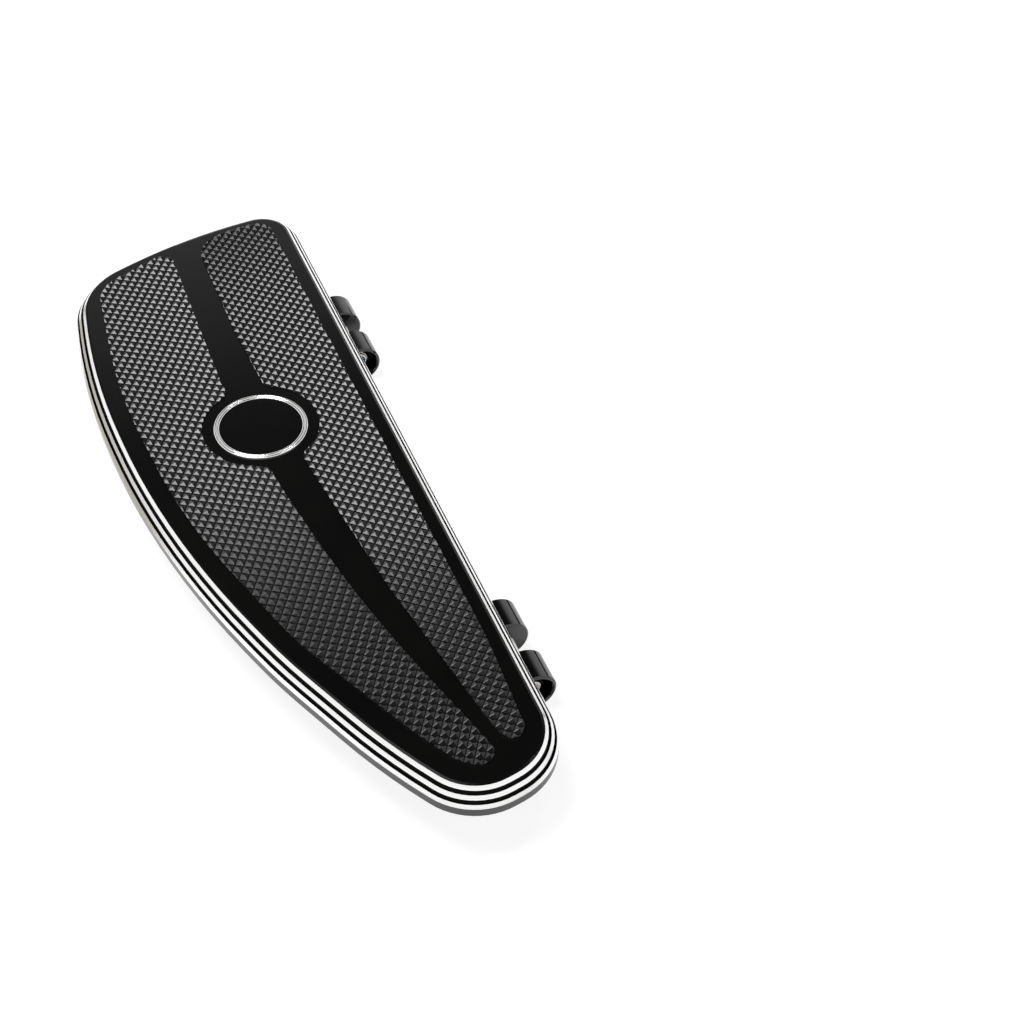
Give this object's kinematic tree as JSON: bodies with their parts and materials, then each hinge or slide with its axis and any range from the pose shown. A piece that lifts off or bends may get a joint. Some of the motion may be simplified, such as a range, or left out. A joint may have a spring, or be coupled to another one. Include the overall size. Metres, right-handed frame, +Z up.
{
  "type": "motorcycle floorboard",
  "caption": "Left floorboard of a motorcycle: a machined deck plate with bright grooved edge, rubber tread pads and a plain badge, on two clevises that hinge on bolts.",
  "frame": {"origin": "middle of the wide-end clevis, on the axis of its pivot bolt", "axes": "+X from the deck towards the motorcycle, +Y along the pivot line towards the deck's wide end, +Z up, out of the tread face"},
  "size_m": [0.1587, 0.4336, 0.039],
  "materials": {
    "black_anodised": "gloss black anodised",
    "polished_aluminium": "bright turned",
    "tread_rubber": "moulded",
    "stainless_steel": "bright",
    "blue_nylon": "moulded"
  },
  "bodies": {
    "board": {"deck_plate": "black_anodised", "tread_pad_outer": "tread_rubber", "tread_pad_inner": "tread_rubber", "badge_bezel": "polished_aluminium", "badge_disc": "black_anodised", "wide_end_clevis": "black_anodised", "wide_end_screw_1": "stainless_steel", "wide_end_screw_2": "stainless_steel", "wide_end_screw_3": "stainless_steel", "wide_end_screw_4": "stainless_steel", "narrow_end_clevis": "black_anodised", "narrow_end_screw_1": "stainless_steel", "narrow_end_screw_2": "stainless_steel", "narrow_end_screw_3": "stainless_steel", "narrow_end_screw_4": "stainless_steel"},
    "wide_end_pivot": {"wide_end_pivot_bolt": "stainless_steel", "wide_end_lock_nut": "stainless_steel", "wide_end_nut_insert": "blue_nylon"},
    "narrow_end_pivot": {"narrow_end_pivot_bolt": "stainless_steel", "narrow_end_lock_nut": "stainless_steel", "narrow_end_nut_insert": "blue_nylon"}
  },
  "joints": [
    {"name": "wide_end_hinge", "type": "hinge", "parent": "board", "child": "wide_end_pivot", "pos_m": [0, 0, 0], "axis": [0, 1, 0], "continuous": true},
    {"name": "narrow_end_hinge", "type": "hinge", "parent": "board", "child": "narrow_end_pivot", "pos_m": [0, -0.2475, 0], "axis": [0, 1, 0], "continuous": true}
  ]
}
